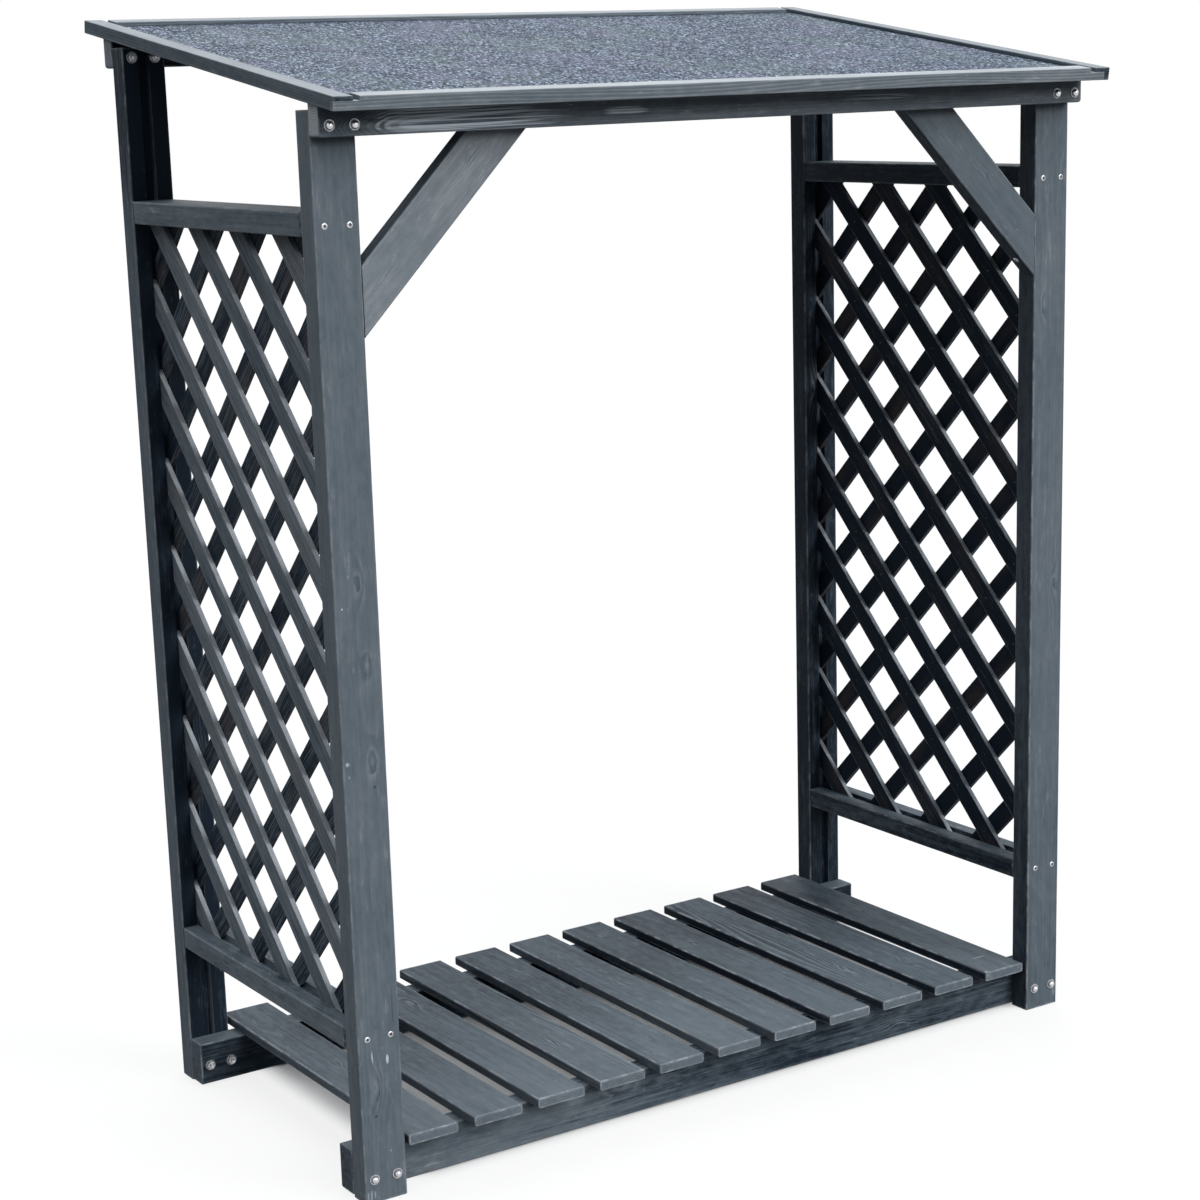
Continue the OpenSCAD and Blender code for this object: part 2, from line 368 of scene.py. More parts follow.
# %% What can differ from piece to piece
PLAIN = {
    "seed": 0.0,  # the piece's own place in the noise
    "pith": (0.0, 0.0),  # where the rings' middle lies, in metres off the piece's middle
    "spacing": 0.0036,  # metres from ring to ring
    "rings": 0.06,  # how strongly the late wood shows
    "bend": None,  # (place along, amount): before it the rings curve away
    "knots": (),  # (across, along, radius) of each
    "places": (),  # (across, along, half across, half along, amount): worn, or dark below 0
    "hollows": 0.0,  # how dark the soft wood lies between worn lines
    "tone": 0.0,  # lighter or darker all over
    "calm": 0.0,  # less uneven, or more so below 0
    "sheltered": 0.40,  # painted shade on the faces that look inwards, under the roof
    "shaded": None,  # (direction, amount): painted shade on one side of the piece
    "ends": -0.10,  # sawn ends: paler, or darker below 0
    "butted": 0.0,  # a dark line where the piece meets its neighbours
    "forward": 0.0,  # painted light: paler towards the front
    "upper": 0.0,  # painted highlight on the upper faces
    "wear": 1.0,  # stain rubbed off the long edges, with a painted highlight along them
}
print("a piece can differ in", len(PLAIN), "ways")

# %% Places within one piece of wood
def grain_space(middle, across, through, along):
    """Coordinates in metres from a piece's middle: across, through and along the grain."""
    place = shifted(Wire.node("TexCoord", {}, {}, "Object"), middle)
    return [measured(place, direction) for direction in (across, through, along)]


def edge_distance(spots, sizes):
    """Metres to the nearest edge of a squared timber: the middle one of three distances."""
    gaps = [size / 2 - abs(spot) for spot, size in zip(spots, sizes)]
    least = Wire.math("MINIMUM", Wire.math("MINIMUM", gaps[0], gaps[1]), gaps[2])
    most = Wire.math("MAXIMUM", Wire.math("MAXIMUM", gaps[0], gaps[1]), gaps[2])
    return gaps[0] + gaps[1] + gaps[2] - least - most


def painted_inward_shade(facing):
    """Painted shade: 1 on the faces that look inwards, under the roof, and 0 on those that look
    out.
    """
    flat = stretched(Wire.node("TexCoord", {}, {}, "Object"), (1.0, 1.0, 0.0))
    return eased(measured(flat, facing), 0.02, -0.24)


# %% [markdown]
# A stain never dries even. Each cause is its own noise, stretched along the grain by its own
# amount: broad patches from the brush, streaks and fibres from the wood, mottling where it soaked
# in, and the scuffs and nicks of handling. One noise could not be broad and fine at once.

# %% The stain's own unevenness
def add_noise(wood):
    """From broad patches down to fibres and single nicks. Numbers are clouds to the metre."""
    def layer(across, along, detail, roughness):
        return clouds(stretched(wood.here, (across, across, along)), detail, roughness)

    wood.patches = layer(22.0, 5.0, 4.0, 0.55)
    wood.streaks = layer(150.0, 4.0, 3.0, 0.6)
    wood.mottle = layer(95.0, 42.0, 3.0, 0.65)
    wood.fibre = layer(900.0, 26.0, 2.0, 0.6)
    wood.broken = layer(60.0, 22.0, 3.0, 0.65)
    wood.ripple = layer(130.0, 60.0, 2.0, 0.6)
    wood.scuffs = eased(layer(70.0, 16.0, 4.0, 0.66), 0.58, 0.70)
    wood.nicks = eased(layer(260.0, 70.0, 2.0, 0.5), 0.715, 0.80)


# %% [markdown]
# A knot is a branch that the trunk grew round. The rings swerve past it in long loops, a little
# to one side, and its own heart is dark. Pushing the rings outwards by a bell round each knot
# does both, and some ripple keeps the loops from being true ovals.

# %% Knots
def knot_pull(spots, knots, ripple):
    """How rings bend round knots, how near a knot is, and where the knots themselves lie."""
    pull, near, dark = 0.0, 0.0, 0.0
    for at_across, at_along, radius in knots:
        side = (spots[0] - at_across) / radius
        run = (spots[2] - at_along) / (radius * 3.0)
        past = run - 0.55
        far = (side * side + past * past) * (0.35 + 1.3 * ripple)
        bell = 1.0 / ((1.0 + far * 0.22) * (1.0 + far * 0.22))
        heart = (side * side + run * run * 3.4) * (0.5 + ripple)
        pull = pull + bell * (radius * 1.15)
        near = near + bell
        dark = dark + eased(heart, 1.1, 0.3)
    return pull, near, dark


# %% Rings, and the hard late wood in each
def add_rings(wood, look):
    """Rings round an unseen pith. They drift, swerve past knots and may bend at one end."""
    across, through, along = wood.spots
    drift = clouds(stretched(wood.here, (9.0, 9.0, 1.7)), 1.0).pick("Color")
    drift = Wire.node("SeparateColor", {}, {0: drift})
    side = across + (drift - 0.5) * 0.030 - look.pith[0]
    deep = through + (drift.pick("Green") - 0.5) * 0.030 - look.pith[1]
    pull, wood.near, wood.knot = knot_pull(wood.spots, look.knots, wood.ripple)
    radius = (side * side + deep * deep) ** 0.5 + pull
    if look.bend:
        start, amount = look.bend
        past = Wire.math("MAXIMUM", start - along, 0.0)
        radius = radius + past * past * amount
    ring = Wire.math("FRACT", radius / look.spacing)
    if look.hollows:
        wood.late = eased(ring, 0.34, 0.52) * eased(ring, 0.98, 0.84)
    else:
        wood.late = eased(ring, 0.30, 0.86) * eased(ring, 1.0, 0.90)
    if look.bend:
        lines = eased(clouds(stretched(wood.here, (520.0, 520.0, 3.0)), 1.0, 0.5), 0.44, 0.57)
        straight = eased(along, start - 0.050, start - 0.035)
        wood.late = wood.late + straight * (lines - wood.late) * 0.75


# %% Worn and dark places
def worn_places(spots, ragged, places):
    """Where handling has taken the stain down: soft ovals along the grain with ragged ends."""
    worn = 0.0
    for at_across, at_along, half_across, half_along, amount in places:
        side = (spots[0] - at_across) / half_across
        run = (spots[2] - at_along) / half_along
        far = (side * side + run * run) ** 0.5 + (ragged - 0.5) * 1.6
        worn = worn + amount * eased(far, 1.15, 0.65)
    return worn


# %% [markdown]
# From here the stain is a sum. Its depth starts at one half, the noises and the late wood push it
# up and down, painted shade on faces that look inwards or to one side makes it darker, and painted
# light makes the front paler. Only then does the depth become a colour, and over it come the spots
# where the stain has gone: sawn ends, worn lines and rubbed edges, with a painted highlight along
# the edges and on the upper faces.

# %% How deep the stain lies
def stain_depth(wood, look):
    """0 is the thickest stain and 1 the thinnest, before a face's side counts."""
    uneven = (wood.patches - 0.5) * 0.42 + (wood.streaks - 0.5) * 0.32
    uneven = uneven + (wood.fibre - 0.5) * 0.26 + (wood.mottle - 0.5) * 0.34
    uneven = uneven + wood.scuffs * 0.16 + wood.nicks * 0.45
    depth = 0.5 + look.tone + uneven * (1.0 - look.calm)
    wood.strong = look.rings
    if look.places:
        worn = worn_places(wood.spots, wood.streaks, look.places)
        wood.pale = Wire.math("MINIMUM", Wire.math("MAXIMUM", worn, 0.0), 1.0)
        wood.strong = wood.strong + wood.pale * 0.40
        depth = depth + worn * 0.10 - wood.pale * (1.0 - wood.late) * look.hollows
    if look.knots:
        wood.strong = wood.strong + wood.near * 0.16
        depth = depth - wood.knot * (0.04 + 0.14 * wood.streaks)
    return depth + (wood.late - 0.35) * wood.strong


def by_side(wood, look, depth):
    """Painted shade on faces that look inwards or to one side, darker sawn ends and butted joints,
    and painted light towards the front.
    """
    # Painted shade on the faces that look inwards.
    depth = depth - painted_inward_shade(wood.facing) * look.sheltered
    depth = depth + wood.sawn * min(look.ends, 0.0)
    # Painted shade on one side of the piece.
    if look.shaded:
        direction, amount = look.shaded
        depth = depth - eased(measured(wood.facing, direction), 0.5, 0.9) * amount
    if look.butted:
        from_end = wood.sizes[2] / 2 - abs(wood.spots[2])
        depth = depth - eased(from_end, 0.0060, 0.0030) * look.butted
    # Painted light: paler towards the front.
    if look.forward:
        ragged = wood.spots[2] + (wood.patches - 0.5) * 0.3
        depth = depth + (eased(ragged, 0.16, -0.30) - 0.5) * look.forward
    return depth


# %% The stain's colour, and where it has gone
def stain_colour(wood, look, depth):
    """The stain at its depth, and over it sawn ends, worn lines, rubbed edges with a painted
    highlight, and a painted highlight on the upper faces.
    """
    colour = Wire.node("ValToRGB", {"stops": STAIN}, {0: depth})
    if look.ends > 0:
        cut = look.ends * (0.25 + 0.6 * wood.streaks + 0.6 * wood.late)
        colour = tinted(wood.sawn * cut, colour, SAWN)
    # Painted highlight on the upper faces.
    if look.upper:
        upper_highlight = eased(measured(wood.facing, Z), 0.5, 0.95) * (look.upper * (0.5 + wood.patches))
        colour = tinted(upper_highlight, colour, UPPER_HIGHLIGHT)
    if look.knots:
        around = Wire.math("MINIMUM", wood.near, 1.0) * wood.late * wood.ripple * 0.45
        colour = tinted(around, colour, WORN_AND_SHEEN)
    if look.places:
        if look.hollows:
            lines = 0.06 + wood.late * (0.50 + 0.5 * wood.streaks)
        else:
            lines = 0.12 + 0.88 * wood.late
        colour = tinted(wood.pale * lines, colour, BARE)
    # Rubbed edges: the stain worn off, with a painted highlight all along them.
    edge = edge_distance(wood.spots, wood.sizes)
    patchy = 0.35 + 0.65 * eased(wood.broken, 0.46, 0.60)
    rubbed = eased(edge, 0.0038, 0.0008) * patchy * look.wear
    return tinted(rubbed * 0.66, colour, WORN_AND_SHEEN)


# %% One finish for any piece
def stained_timber(name, middle, axes, sizes, look):
    """Stained softwood. The axes run across, through and along the grain."""
    finish = new_finish(name)
    wood = SimpleNamespace(sizes=sizes, spots=grain_space(middle, *axes))
    away = look.seed * 1.7, look.seed * 2.3, look.seed * 3.1
    grain = together(*wood.spots)
    wood.here = Wire.node("VectorMath", {"operation": "ADD"}, {0: grain, 1: away})
    wood.facing = Wire.node("NewGeometry", {}, {}, "Normal")
    wood.sawn = eased(abs(measured(wood.facing, axes[2])), 0.6, 0.9)
    add_noise(wood)
    add_rings(wood, look)
    colour = stain_colour(wood, look, by_side(wood, look, stain_depth(wood, look)))
    relief = wood.late * (wood.strong * 0.6) + wood.fibre * 0.5
    relief = relief + wood.streaks * 0.4 + wood.nicks * 0.5
    gloss = 0.50 + 0.20 * wood.fibre + 0.12 * wood.patches
    surface(colour, gloss, relief, 0.40, 0.0006, {"Specular IOR Level": 0.07})
    return finish


stained = []


def finish_timber(node, across, along, sizes=None, middle=None, **looks):
    """Gives a piece its own wood. Without sizes, it is square to the store's own axes."""
    low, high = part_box(node)
    middle = (low + high) / 2 if middle is None else Vector(middle)
    across, along = Vector(across).normalized(), Vector(along).normalized()
    axes = [tuple(side) for side in (across, along.cross(across), along)]
    if sizes is None:
        sizes = [abs((high - low).dot(Vector(side))) for side in axes]
    look = SimpleNamespace(**{**PLAIN, **looks})
    put_on(node, stained_timber(node, tuple(middle), axes, sizes, look))
    stained.append(node)


# %% [markdown]
# ## Posts
# The posts are the pieces nearest to the eye. Their front faces are smooth and cloudy, with faint
# oval knots, and a few pale nicks along the edges. Each post gets its own pith, its own place in
# the noise and its own knots, so that no two are alike. The nearest one also has its larger marks
# where the real post has them: round the knots at mid height, and at the foot.

# %% Marks on the front left post
KNOT_MARKS = [
    (0.0125, 0.0345, 0.0026, 0.0050, 0.45), (-0.023, 0.107, 0.0014, 0.0014, 0.7),
    (-0.012, 0.152, 0.0020, 0.0040, 0.30), (-0.010, 0.018, 0.0014, 0.0050, 0.28),
    (-0.026, -0.116, 0.0040, 0.0030, 0.45), (-0.025, -0.135, 0.0020, 0.0030, 0.30),
    (0.0195, -0.162, 0.0012, 0.0110, 0.45), (0.0135, -0.156, 0.0020, 0.0024, -3.0),
]
FOOT_MARKS = [
    (0.012, -0.567, 0.0025, 0.007, 0.45), (-0.013, -0.562, 0.0016, 0.012, 0.35),
    (0.005, -0.548, 0.005, 0.0025, 0.35), (0.011, -0.710, 0.0016, 0.0022, 0.9),
    (-0.026, -0.772, 0.009, 0.007, 0.22),
]
DARK_MARKS = [(0.024, -0.485, 0.0012, 0.030, -1.8), (-0.011, -0.651, 0.0022, 0.0026, -4.0)]
print("marks on the nearest post:", len(KNOT_MARKS + FOOT_MARKS + DARK_MARKS))

# %% Four posts
finish_timber("front_left_post", X, Z, pith=(0.012, 0.060), seed=1.0, rings=0.05, tone=0.01,
              knots=[(0.005, 0.130, 0.0055), (0.012, 0.012, 0.005), (0.013, -0.128, 0.006),
                     (-0.006, -0.620, 0.007)],
              places=KNOT_MARKS + FOOT_MARKS + DARK_MARKS)
finish_timber("front_right_post", X, Z, pith=(-0.030, 0.055), seed=2.0, rings=0.05,
              wear=1.4, sheltered=0.30, knots=[(0.013, -0.045, 0.006), (-0.014, 0.420, 0.005)],
              places=[(0.028, -0.760, 0.003, 0.015, 0.9), (0.0, -0.62, 0.08, 0.28, -0.6)])
# The back left post is darker at its upper end: painted shade under the roof.
finish_timber("back_left_post", X, Z, pith=(0.040, -0.050), seed=3.0, tone=-0.15,
              knots=[(0.010, -0.300, 0.007)], places=[(0.0, 0.84, 0.12, 0.26, -3.0)])
finish_timber("back_right_post", X, Z, pith=(0.015, -0.070), seed=4.0, tone=-0.08,
              knots=[(-0.012, 0.180, 0.008)])
print("posts finished:", len(stained))

# %% [markdown]
# ## Rails, beams and bearers
# The rails lie between the posts, so their grain runs front to back, and a dark line shows where
# they meet the posts. The beams and bearers run across. On the front beam the stain has worn off
# the hard late wood: pale arches open from its left end and turn into long lines, so there the
# rings bend, and dark hollows lie between them. The front bearer is darker to the right.

# %% Rails
RAILS = "left_top_rail", "left_low_rail", "right_top_rail", "right_low_rail"
# The rails' upper faces get painted shade.
for count, node in enumerate(RAILS):
    finish_timber(node, X, Y, pith=(0.03 - 0.02 * count, 0.04), seed=5.0 + count, rings=0.07,
                  tone=-0.03, butted=0.60, calm=-0.6, shaded=(Z, 0.12),
                  knots=[(0.015, 0.11 - 0.07 * count, 0.006)])
print("rails finished:", len(RAILS))

# %% Beams
# The front beam's last place darkens the top of its worn stretch: partly darker stain, partly
# painted shadow of the trim.
finish_timber("front_beam", Z, X, pith=(-0.005, 0.006), seed=10.0, rings=0.14, tone=0.09,
              ends=0.80, calm=-0.3, spacing=0.0034, bend=(-0.540, 2.0), hollows=0.20,
              knots=[(0.002, 0.52, 0.005)],
              places=[(-0.006, -0.462, 0.019, 0.160, 1.0), (-0.004, -0.195, 0.006, 0.040, 0.9),
                      (0.000, 0.275, 0.004, 0.080, 0.5), (-0.012, -0.648, 0.0016, 0.018, 0.6),
                      (0.0, -0.660, 0.030, 0.060, -3.2), (0.017, -0.480, 0.006, 0.150, -2.6)])
finish_timber("back_beam", Z, X, pith=(0.070, 0.024), seed=11.0, rings=0.10, tone=-0.08,
              ends=0.30, spacing=0.0046, knots=[(-0.006, -0.31, 0.007)],
              places=[(0.002, 0.30, 0.016, 0.120, 0.6)])

# %% Bearers
finish_timber("front_bearer", Z, X, pith=(0.020, 0.050), seed=12.0, tone=-0.04, ends=-0.30,
              calm=-0.4, knots=[(0.014, -0.22, 0.008), (-0.012, 0.35, 0.006)],
              places=[(0.0, 0.24, 0.10, 0.50, -2.6), (-0.004, 0.15, 0.05, 0.10, -1.2)])
finish_timber("back_bearer", Z, X, pith=(-0.010, 0.055), seed=13.0, tone=-0.06, ends=-0.20,
              knots=[(0.006, 0.18, 0.007)])
print("posts, rails, beams and bearers finished:", len(stained))

# %% [markdown]
# ## Braces
# Each brace runs at 45 degrees from a post up to the beam, and so does its grain. Only the two
# directions change: the wood itself is made by the same function. The edge that looks up lies
# in the shade of the roof, so it gets painted shade.

# %% Braces along their own slope
BRACE_MIDDLE, BRACE_SIZES = Vector((0.4715, -0.305, 1.455)), [0.070, 0.028, 0.510]
for node, side, seed, tone in (("left_brace", 1, 14.0, 0.33), ("right_brace", -1, 15.0, 0.02)):
    upper_edge = (-side * DIAGONAL, 0, DIAGONAL)
    finish_timber(node, upper_edge, (side * DIAGONAL, 0, DIAGONAL), sizes=BRACE_SIZES,
                  middle=(-side * BRACE_MIDDLE.x, BRACE_MIDDLE.y, BRACE_MIDDLE.z),
                  pith=(0.090, 0.030), seed=seed, tone=tone, shaded=(upper_edge, 0.50),
                  knots=[(0.008, 0.05 * side, 0.005)])
print("braces are", BRACE_SIZES[2], "m long")

# %% [markdown]
# ## Floor slats
# Eleven thin boards with well rounded edges. Use polishes and scratches them, so they are a
# little uneven in tone, and their front ends are made paler with painted light. Each has its own
# seed. Two of them show strong rings, as boards from the outside of a trunk do.

# %% Eleven slats
SLATS, RINGED = range(1, 12), (3, 8)
SCRATCHES = {1: [(-0.038, -0.313, 0.003, 0.004, 0.9), (0.0, -0.250, 0.018, 0.002, 0.4)]}
for number in SLATS:
    finish_timber(f"floor_slat_{number}", X, Y, seed=20.0 + number, ends=0.08, wear=1.6,
                  tone=0.03 * math.sin(number * 2.4) - 0.20, forward=0.24,
                  rings=0.26 if number in RINGED else 0.05, places=SCRATCHES.get(number, ()),
                  pith=(0.05 * math.sin(number * 1.7), -0.03 - 0.03 * math.cos(number) ** 2),
                  knots=[(0.02 * math.sin(number * 3.1), 0.24 * math.cos(number * 1.3), 0.006)])
print("slats finished:", len(SLATS))

# %% [markdown]
# ## Roof trims and board
# Thin L-shaped strips hold the felt down. They slope with the roof, so the side strips' grain
# follows the fall. Their thin top edges catch the light and get a painted highlight. Under
# the felt lies one thin board, whose grain runs along the roof.

# %% Four trims
PITCH = math.radians(8.6)
FALL = (0, math.cos(PITCH), math.sin(PITCH))
TRIM_WIDE, TRIM_THICK = 0.030, 0.0195

for node, seed in (("roof_trim_left", 41.0), ("roof_trim_right", 42.0)):
    finish_timber(node, X, FALL, sizes=[TRIM_WIDE, TRIM_THICK, 0.815], seed=seed,
                  pith=(0.01, 0.05), rings=0.14, tone=-0.12, upper=0.33, ends=-0.25, wear=0.5,
                  sheltered=0.10)
for node, seed, upper in (("roof_trim_front", 43.0, 0.50), ("roof_trim_back", 44.0, 0.30)):
    finish_timber(node, FALL, X, sizes=[TRIM_WIDE, TRIM_THICK, 1.372], seed=seed, upper=upper,
                  pith=(0.012, -0.03), rings=0.26, tone=0.18, wear=0.7, sheltered=0.10)

# %% The board's underside
finish_timber("roof_board", FALL, X, sizes=[0.795, 0.011, 1.362], seed=50.0,
              pith=(0.02, -0.012), rings=0.16, tone=-0.02, spacing=0.0075,
              knots=[(0.16, 0.34, 0.011), (-0.22, -0.27, 0.009)])
print("timber finishes:", len(stained))

# %% [markdown]
# ## Trellis
# A trellis is two layers of thin laths, pinned where they cross. Both layers are one piece of the
# construction, so the finish sorts them out: the depth tells the layer, and the distance across
# the laths, counted in steps of the spacing, tells which lath a point lies on. Each lath then
# gets its own tone and its own piece of grain.

# %% Which lath a point lies on
LATH_STEP, LATH_WIDE = 0.0986, 0.0335
PANEL_MIDDLE = (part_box("left_low_rail")[1].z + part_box("left_top_rail")[0].z) / 2
print("the panels' middle lies", round(PANEL_MIDDLE, 4), "m up")


def lath_place(place, facing, middle_x, shares, seed):
    """A point's place on its own lath and across it, the layer, and the lath's own number."""
    apart = Wire.node("SeparateXYZ", {}, {0: place})
    behind = measured(facing, (0.002, 0, 0))
    inner = eased(apart - middle_x - behind, -0.00001, 0.00001)
    up, back = apart.pick("Z") - PANEL_MIDDLE, apart.pick("Y")
    rising, falling = (up - back) * DIAGONAL, (up + back) * DIAGONAL
    across = rising + (falling - rising) * inner
    along = falling + (rising - falling) * inner
    counted = across / LATH_STEP - (shares[0] + inner * (shares[1] - shares[0]))
    lath = Wire.math("ROUND", counted)
    beside = (counted - lath) * LATH_STEP
    number = lath + inner * 37.0 + seed
    own = Wire.node("TexWhiteNoise", {"noise_dimensions": "1D"}, {"W": number}, "Value")
    here = together(beside + own * 7.0, apart, along + own * 3.0)
    return here, beside, inner, own


# %% One finish for a whole panel
WARM, LATH_WEAR_AND_SHEEN, LATH_HIGHLIGHT = (0.062, 0.050, 0.048), (0.262, 0.288, 0.314), (0.300, 0.320, 0.342)


def trellis_timber(name, middle_x, shares, seed, top_highlight):
    """Thinly stained laths, with painted shade on the far layer, which is also warmer than the near
    one.
    """
    finish = new_finish(name)
    facing = Wire.node("NewGeometry", {}, {}, "Normal")
    place = Wire.node("TexCoord", {}, {}, "Object")
    here, beside, inner, own = lath_place(place, facing, middle_x, shares, seed)
    patches = clouds(stretched(here, (16.0, 16.0, 5.0)), 3.0)
    streaks = clouds(stretched(here, (330.0, 330.0, 7.0)), 2.0)
    fibre = clouds(stretched(here, (1200.0, 1200.0, 24.0)), 2.0, 0.6)
    mottle = clouds(stretched(here, (170.0, 170.0, 34.0)), 3.0, 0.65)
    broken = clouds(stretched(here, (70.0, 70.0, 20.0)), 3.0, 0.65)
    ring = Wire.math("FRACT", (beside + (patches - 0.5) * 0.03 + own) / (0.0034 + own * 0.002))
    late = eased(ring, 0.30, 0.85) * eased(ring, 1.0, 0.90)

    depth = 0.54 + (own - 0.5) * 0.20 + (patches - 0.5) * 0.6 + (streaks - 0.5) * 0.95
    depth = depth + (fibre - 0.5) * 0.4 + (late - 0.35) * 0.20 + (mottle - 0.5) * 0.60
    # Painted shade on the far layer and on the faces that look inwards.
    depth = depth - inner * 0.42 - painted_inward_shade(facing) * 0.66
    colour = Wire.node("ValToRGB", {"stops": STAIN}, {0: depth})
    colour = tinted(eased(patches, 0.50, 0.72) * (0.36 + 0.20 * inner), colour, WARM)

    # Rubbed lath edges: worn stain, with a painted highlight along them.
    edge = LATH_WIDE / 2 - abs(beside)
    rubbed = eased(edge, 0.0022, 0.0004) * (0.25 + 0.75 * eased(broken, 0.45, 0.62))
    colour = tinted(rubbed * (0.75 - 0.45 * inner), colour, LATH_WEAR_AND_SHEEN)
    # Painted highlight on the laths' upper edges.
    top_highlight_mask = eased(measured(facing, Z), 0.35, 0.70) * (top_highlight - 0.25 * inner) * (0.5 + broken)
    colour = tinted(top_highlight_mask, colour, LATH_HIGHLIGHT)

    relief = late * 0.4 + fibre * 0.6 + streaks * 0.3
    surface(colour, 0.52 + 0.20 * fibre, relief, 0.40, 0.0005, {"Specular IOR Level": 0.03})
    return finish


# %% Both panels
# The shares of a step by which the rising and the falling laths are off the panel's middle, then
# the seed, and how much painted highlight the laths' upper edges get.
PANELS = {
    "left_trellis": ((0.2, -0.43), 60.0, 0.60),
    "right_trellis": ((0.35, -0.21), 69.0, 0.18),
}
for node, (shares, seed, top_highlight) in PANELS.items():
    low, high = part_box(node)
    put_on(node, trellis_timber(node, (low.x + high.x) / 2, shares, seed, top_highlight))
    print(node, "is", round(high.x - low.x, 4), "m thick")

# %% [markdown]
# ## Roofing felt
# The felt is a bitumen sheet strewn with crushed slate: thousands of grains, each with its own
# blue-grey, lying in loose clumps. Cells of a Voronoi texture are the grains, larger cells and a
# slower noise gather them, and here and there a grain is greener or more violet.

# %% Colours of the grains, dark to light
GRAINS = [
    (0.00, (0.007, 0.011, 0.019)),
    (0.30, (0.030, 0.044, 0.071)),
    (0.55, (0.094, 0.129, 0.184)),
    (0.80, (0.228, 0.284, 0.374)),
    (1.00, (0.520, 0.590, 0.690)),
]
GREEN_GRAIN, VIOLET_GRAIN = (0.165, 0.225, 0.205), (0.205, 0.185, 0.290)


# %% Mineral felt
def cells(place, scale):
    """How far a point lies from its cell's middle, and the cell's own three random numbers."""
    cell = {"Vector": place, "Scale": scale, "Randomness": 1.0}
    distance = Wire.node("TexVoronoi", {}, cell, "Distance")
    return distance, Wire.node("SeparateColor", {}, {0: distance.pick("Color")})


def odd_ones(zone, own):
    """Some zones a little, and a few single grains more."""
    return eased(zone, 0.50, 0.62) * 0.16 + eased(own, 0.72, 0.98) * 0.30


def mineral_felt(name):
    """Slate grains on bitumen. They lie longer up the roof than across it."""
    finish = new_finish(name)
    place = Wire.node("TexCoord", {}, {}, "Object")
    laid = stretched(place, (1.0, 0.50, 1.0))
    grains, own = cells(laid, 420.0)
    _, heap = cells(laid, 240.0)
    clumps = clouds(stretched(laid, (330.0, 330.0, 330.0)), 1.0, 0.6)
    zones = clouds(stretched(place, (9.0, 6.0, 9.0)), 2.0).pick("Color")
    zones = Wire.node("SeparateColor", {}, {0: zones})
    depth = 0.342 + (own - 0.5) * 1.10 + (heap - 0.5) * 0.30
    depth = depth + (clumps - 0.5) * 0.80 + (zones - 0.5) * 0.12
    colour = Wire.node("ValToRGB", {"stops": GRAINS}, {0: depth})
    colour = tinted(odd_ones(zones.pick("Green"), own.pick("Green")), colour, GREEN_GRAIN)
    colour = tinted(odd_ones(zones.pick("Blue"), own.pick("Blue")), colour, VIOLET_GRAIN)
    relief = (1.0 - grains) * 0.6 + clumps * 0.8 + own * 0.2
    surface(colour, 0.72 + 0.2 * clumps, relief, 0.7, 0.0012, {"Specular IOR Level": 0.10})
    return finish


put_on("roof_felt", mineral_felt("mineral_felt"))
print("the felt has", len(GRAINS), "tones of grain")

# %% [markdown]
# ## Steel fixings
# Everything is held by zinc-plated steel: domed bolts through the beams and bearers with nuts
# behind them, screws through the posts into the rails, and small nails in the floor. Fresh zinc
# is bright. A dull copy of it is partly weathered zinc and partly painted shade, and the darkest
# copy is painted shade, on the fixings inside the store, under the roof or beneath a brace.

# %% Zinc, darker copies of it for painted shade, and dark steel for nails and painted shade
def plated_steel(name, colour, rubbed, roughness):
    """Steel with cloudy plating: bright here, dull there."""
    finish = new_finish(name)
    place = Wire.node("TexCoord", {}, {}, "Object")
    dull = clouds(stretched(place, (260.0, 260.0, 260.0)), 3.0, 0.6)
    fine = clouds(stretched(place, (1500.0, 1500.0, 1500.0)), 2.0)
    tone = tinted(eased(dull, 0.35, 0.70), colour, rubbed)
    surface(tone, roughness + 0.2 * dull, fine, 0.15, 0.0002, {"Metallic": 1.0})
    return finish


zinc = plated_steel("bright_zinc", (0.60, 0.61, 0.63), (0.42, 0.43, 0.45), 0.24)
dull_and_shaded_zinc = plated_steel("dull_and_shaded_zinc", (0.46, 0.47, 0.49), (0.28, 0.29, 0.31), 0.32)
shaded_zinc = plated_steel("shaded_zinc", (0.26, 0.27, 0.28), (0.13, 0.135, 0.14), 0.36)
dark_steel_and_shade = plated_steel("dark_nail_and_shade", (0.10, 0.10, 0.11), (0.05, 0.05, 0.055), 0.45)
print("steels:", [steel.name for steel in (zinc, dull_and_shaded_zinc, shaded_zinc, dark_steel_and_shade)])

# %% [markdown]
# A bolt head is a turned shape, so each one is a profile spun round its axis. A nut and the
# cross-shaped recess of a screw are nearly so: their rings are pushed out to corners or drawn
# in between the arms. That keeps every fixing to one short list of radii and heights.

# %% Spin a profile
def spin(mesh, place, facing, profile, steps, star):
    """Adds a turned shape: profile gives (radius, height) from its rim to its middle."""
    towards = Vector(facing).to_track_quat("Z", "X").to_matrix().to_4x4()
    fit = Matrix.Translation(Vector(place)) @ towards
    rings = []
    for radius, height in profile:
        if radius == 0:
            rings.append([mesh.verts.new(fit @ Vector((0, 0, height)))])
            continue
        ring = []
        for step in range(steps):
            angle = 2 * math.pi * step / steps
            out = radius * (star(angle, radius) if star else 1.0)
            point = Vector((out * math.cos(angle), out * math.sin(angle), height))
            ring.append(mesh.verts.new(fit @ point))
        rings.append(ring)
    for lower, upper in zip(rings, rings[1:]):
        for step in range(steps):
            after = (step + 1) % steps
            if len(upper) == 1:
                mesh.faces.new((lower[step], lower[after], upper[0]))
            else:
                mesh.faces.new((lower[step], lower[after], upper[after], upper[step]))
    mesh.faces.new(reversed(rings[0]))


